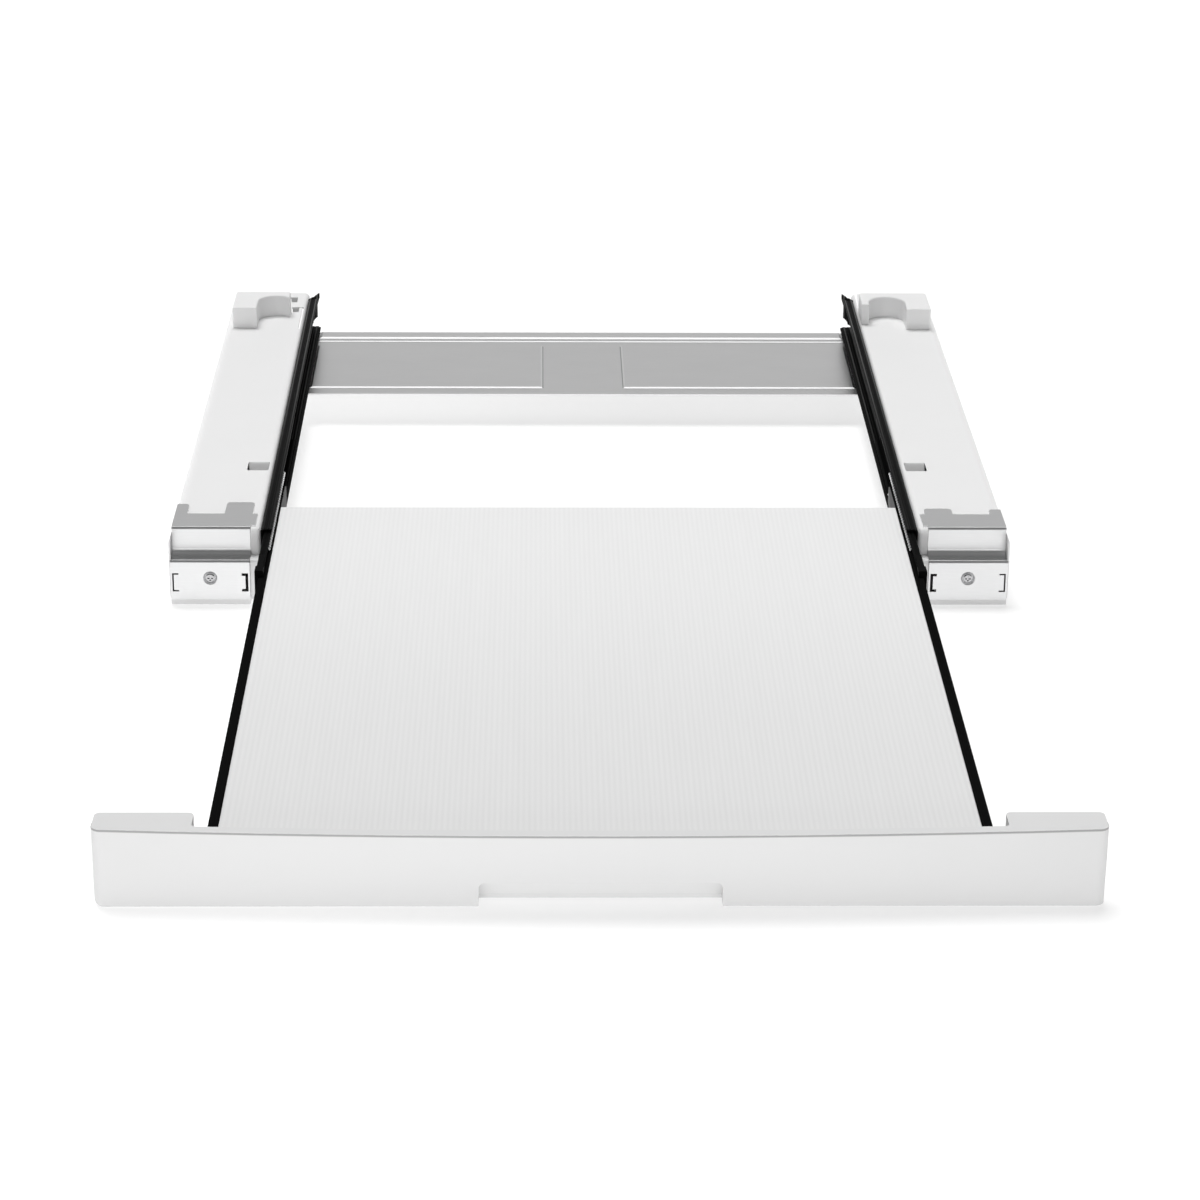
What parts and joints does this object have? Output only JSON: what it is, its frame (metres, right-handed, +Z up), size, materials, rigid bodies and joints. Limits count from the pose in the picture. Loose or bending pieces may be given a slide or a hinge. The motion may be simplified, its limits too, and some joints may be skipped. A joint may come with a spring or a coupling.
{
  "type": "laundry stacking kit with pull-out shelf",
  "caption": "Two sheet rails joined by a crossbar, with rear foot seats, and a shelf with a front panel that pulls out between them on ball slides.",
  "frame": {"origin": "on the surface the kit stands on, under the middle of the whole kit with its shelf pulled right out", "axes": "+Z up, the shelf pulls out towards -Y, +X is to the right seen from the front"},
  "size_m": [0.6, 1.0559, 0.0716],
  "materials": {
    "rail_paint": "white powder coat, satin",
    "strip_rubber": "white soft strip",
    "zinc_sheet": "zinc coated sheet, fine spangle",
    "screw_steel": "bright zinc plated",
    "seat_plastic": "white moulded, soft gloss",
    "slide_black": "black coated rolled steel, semi gloss",
    "bumper_plastic": "black moulded",
    "cage_plastic": "dark moulded",
    "ball_steel": "polished",
    "stop_plastic": "grey moulded",
    "shelf_melamine": "white foil faced board with a fine lengthwise texture",
    "panel_plastic": "white moulded, soft gloss"
  },
  "bodies": {
    "base": {"left_rail": "rail_paint", "right_rail": "rail_paint", "left_base_strip": "strip_rubber", "right_base_strip": "strip_rubber", "left_front_bracket": "zinc_sheet", "right_front_bracket": "zinc_sheet", "bracket_screws": "screw_steel", "left_rear_block": "seat_plastic", "right_rear_block": "seat_plastic", "block_screws": "screw_steel", "crossbar": "zinc_sheet", "crossbar_screws": "screw_steel", "left_slide_outer": "slide_black", "right_slide_outer": "slide_black", "slide_rivets": "screw_steel"},
    "left_middle": {"left_slide_middle": "slide_black", "left_slide_bumper": "bumper_plastic"},
    "right_middle": {"right_slide_middle": "slide_black", "right_slide_bumper": "bumper_plastic"},
    "left_outer_cage_set": {"left_outer_cage": "cage_plastic", "left_outer_balls": "ball_steel"},
    "right_outer_cage_set": {"right_outer_cage": "cage_plastic", "right_outer_balls": "ball_steel"},
    "left_inner_cage_set": {"left_inner_cage": "cage_plastic", "left_inner_balls": "ball_steel"},
    "right_inner_cage_set": {"right_inner_cage": "cage_plastic", "right_inner_balls": "ball_steel"},
    "shelf": {"left_slide_inner": "slide_black", "right_slide_inner": "slide_black", "left_slide_end_stop": "stop_plastic", "right_slide_end_stop": "stop_plastic", "shelf_board": "shelf_melamine", "shelf_screws": "screw_steel", "front_panel": "panel_plastic", "left_panel_angle": "zinc_sheet", "right_panel_angle": "zinc_sheet", "panel_screws": "screw_steel", "board_screws": "screw_steel"}
  },
  "joints": [
    {"name": "shelf_slide", "type": "slide", "parent": "base", "child": "shelf", "axis": [0, -1, 0], "range_m": [-0.458, 0]},
    {"name": "left_middle_slide", "type": "slide", "parent": "base", "child": "left_middle", "axis": [0, -1, 0], "range_m": [-0.229, 0]},
    {"name": "right_middle_slide", "type": "slide", "parent": "base", "child": "right_middle", "axis": [0, -1, 0], "range_m": [-0.229, 0]},
    {"name": "left_outer_cage_roll", "type": "slide", "parent": "base", "child": "left_outer_cage_set", "axis": [0, -1, 0], "range_m": [-0.1145, 0]},
    {"name": "right_outer_cage_roll", "type": "slide", "parent": "base", "child": "right_outer_cage_set", "axis": [0, -1, 0], "range_m": [-0.1145, 0]},
    {"name": "left_inner_cage_roll", "type": "slide", "parent": "base", "child": "left_inner_cage_set", "axis": [0, -1, 0], "range_m": [-0.3435, 0]},
    {"name": "right_inner_cage_roll", "type": "slide", "parent": "base", "child": "right_inner_cage_set", "axis": [0, -1, 0], "range_m": [-0.3435, 0]}
  ],
  "couplings": [
    {"joint": "left_middle_slide", "follows": "shelf_slide", "ratio": 0.5},
    {"joint": "right_middle_slide", "follows": "shelf_slide", "ratio": 0.5},
    {"joint": "left_outer_cage_roll", "follows": "shelf_slide", "ratio": 0.25},
    {"joint": "right_outer_cage_roll", "follows": "shelf_slide", "ratio": 0.25},
    {"joint": "left_inner_cage_roll", "follows": "shelf_slide", "ratio": 0.75},
    {"joint": "right_inner_cage_roll", "follows": "shelf_slide", "ratio": 0.75}
  ]
}
